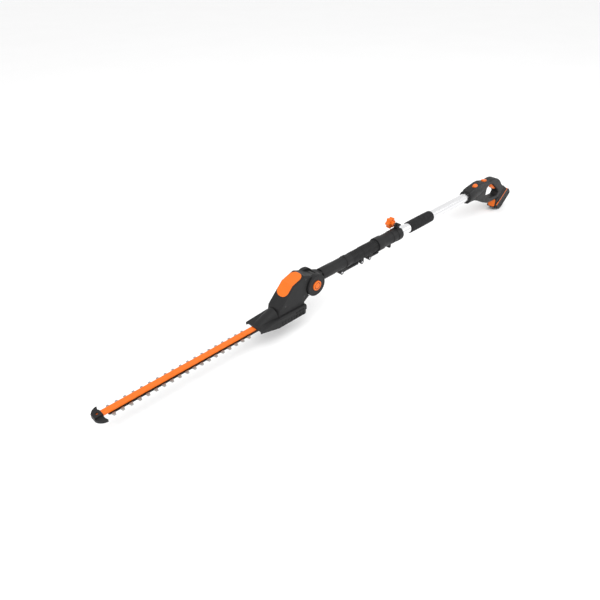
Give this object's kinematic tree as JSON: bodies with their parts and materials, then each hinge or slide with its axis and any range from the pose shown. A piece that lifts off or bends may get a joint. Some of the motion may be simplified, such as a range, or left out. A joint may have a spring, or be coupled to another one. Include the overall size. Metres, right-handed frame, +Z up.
{
  "type": "pole hedge trimmer",
  "caption": "Long-reach electric hedge trimmer: toothed double-edged blade on a pivoting head, telescoping pole with clamp knob, foam grip, and rear loop handle with slide-on battery.",
  "frame": {"origin": "centre of the hanging hole through the blade bar at the tip guard", "axes": "+X from the tip back along the pole to the handle, +Z up, -Y the operator's left side"},
  "size_m": [2.0112, 0.0795, 0.189],
  "materials": {
    "charcoal_plastic": "matte",
    "orange_plastic": "satin",
    "orange_paint": "satin",
    "dark_steel": "satin",
    "blade_steel": "ground",
    "zinc_steel": "satin",
    "gear_case": "cast",
    "gear_steel": "satin",
    "copper": "satin",
    "black_plastic": "matte",
    "spring_steel": "bright",
    "aluminium_tube": "satin",
    "foam": "matte foam",
    "lead_rubber": "matte",
    "circuit_board": "gloss",
    "cell_wrap": "gloss",
    "contact_brass": "bright"
  },
  "bodies": {
    "pole": {"pole_tube": "aluminium_tube", "tube_end_bush": "black_plastic", "foam_grip": "foam", "handle_left": "charcoal_plastic", "handle_right": "charcoal_plastic", "handle_screws": "dark_steel", "trigger_pin": "gear_steel", "trigger_switch": "black_plastic", "controller_board": "circuit_board", "terminal_block": "black_plastic", "power_lead": "lead_rubber", "trigger_spring": "spring_steel", "lock_off_spring": "spring_steel", "safety_spring": "spring_steel"},
    "trigger": {"trigger": "orange_plastic"},
    "lock_off_button": {"lock_off_button": "orange_plastic"},
    "safety_button": {"safety_button": "orange_plastic"},
    "battery": {"battery_case_upper": "charcoal_plastic", "battery_case_lower": "charcoal_plastic", "battery_band": "orange_plastic", "battery_cells": "cell_wrap", "battery_contacts": "contact_brass", "latch_spring": "spring_steel"},
    "battery_latch": {"battery_latch": "orange_plastic"},
    "arm": {"arm_shell_left": "charcoal_plastic", "arm_shell_right": "charcoal_plastic", "arm_screws": "zinc_steel", "arm_sleeve": "charcoal_plastic", "clamp_collar": "charcoal_plastic", "clamp_bolt": "zinc_steel", "pivot_pin": "gear_steel", "pivot_spring_left": "spring_steel", "pivot_spring_right": "spring_steel"},
    "clamp_knob": {"clamp_knob": "orange_plastic"},
    "pivot_button_left": {"pivot_button_left": "orange_plastic"},
    "pivot_button_right": {"pivot_button_right": "orange_plastic"},
    "head": {"housing_left": "charcoal_plastic", "housing_right": "charcoal_plastic", "housing_screws": "dark_steel", "head_cap": "orange_plastic", "blade_guard": "charcoal_plastic", "gear_case_base": "charcoal_plastic", "gear_plate": "gear_case", "motor_can": "zinc_steel", "motor_bearings": "zinc_steel", "gear_bearings": "zinc_steel", "index_plate": "gear_steel", "blade_bar": "orange_paint", "bar_screws": "zinc_steel", "guide_screws": "orange_paint", "tip_guard": "charcoal_plastic"},
    "motor_rotor": {"motor_rotor": "copper", "pinion": "gear_steel", "cooling_fan": "black_plastic"},
    "drive_gear": {"drive_gear": "gear_steel", "eccentric_cams": "gear_steel"},
    "upper_blade": {"upper_blade": "blade_steel"},
    "lower_blade": {"lower_blade": "blade_steel"}
  },
  "joints": [
    {"name": "pole_extend", "type": "slide", "parent": "pole", "child": "arm", "axis": [-1, 0, 0], "range_m": [0, 0.25]},
    {"name": "head_tilt", "type": "hinge", "parent": "arm", "child": "head", "pos_m": [0.731, 0, 0.062], "axis": [0, 1, 0], "range_deg": [-90, 45]},
    {"name": "clamp_knob_turn", "type": "hinge", "parent": "arm", "child": "clamp_knob", "pos_m": [1.179, 0, 0.098], "axis": [0, 1, 0], "continuous": true},
    {"name": "pivot_button_left_press", "type": "slide", "parent": "arm", "child": "pivot_button_left", "axis": [0, 1, 0], "range_m": [0, 0.0045], "stiffness_N_per_m": 1500, "deforming": ["pivot_spring_left"]},
    {"name": "pivot_button_right_press", "type": "slide", "parent": "arm", "child": "pivot_button_right", "axis": [0, -1, 0], "range_m": [0, 0.0045], "stiffness_N_per_m": 1500, "deforming": ["pivot_spring_right"]},
    {"name": "trigger_pull", "type": "hinge", "parent": "pole", "child": "trigger", "pos_m": [1.823, 0, 0.0825], "axis": [0, -1, 0], "range_deg": [0, 8], "stiffness_Nm_per_rad": 1.5, "springref_deg": -2.86, "deforming": ["trigger_spring"]},
    {"name": "lock_off_press", "type": "slide", "parent": "pole", "child": "lock_off_button", "axis": [0, 0.3499, -0.9368], "range_m": [0, 0.003], "stiffness_N_per_m": 600, "springref_m": -0.001, "deforming": ["lock_off_spring"]},
    {"name": "safety_press", "type": "slide", "parent": "pole", "child": "safety_button", "axis": [-0.1701, 0, -0.9854], "range_m": [0, 0.003], "stiffness_N_per_m": 600, "springref_m": -0.001, "deforming": ["safety_spring"]},
    {"name": "battery_slide", "type": "slide", "parent": "pole", "child": "battery", "axis": [-0.7604, 0, -0.6494], "range_m": [0, 0.11]},
    {"name": "latch_press", "type": "slide", "parent": "battery", "child": "battery_latch", "axis": [1, 0, 0], "range_m": [0, 0.004], "stiffness_N_per_m": 800, "springref_m": -0.0005, "deforming": ["latch_spring"]},
    {"name": "gear_spin", "type": "hinge", "parent": "head", "child": "drive_gear", "pos_m": [0.625, 0, 0], "axis": [0, 0, 1], "continuous": true},
    {"name": "rotor_spin", "type": "hinge", "parent": "head", "child": "motor_rotor", "pos_m": [0.65625, 0, 0], "axis": [0, 0, 1], "continuous": true},
    {"name": "upper_blade_slide", "type": "slide", "parent": "head", "child": "upper_blade", "axis": [1, 0, 0], "range_m": [-0.006, 0.006]},
    {"name": "lower_blade_slide", "type": "slide", "parent": "head", "child": "lower_blade", "axis": [1, 0, 0], "range_m": [-0.006, 0.006]}
  ],
  "couplings": [
    {"joint": "rotor_spin", "follows": "gear_spin", "ratio": -4},
    {"joint": "lower_blade_slide", "follows": "upper_blade_slide", "ratio": -1}
  ]
}
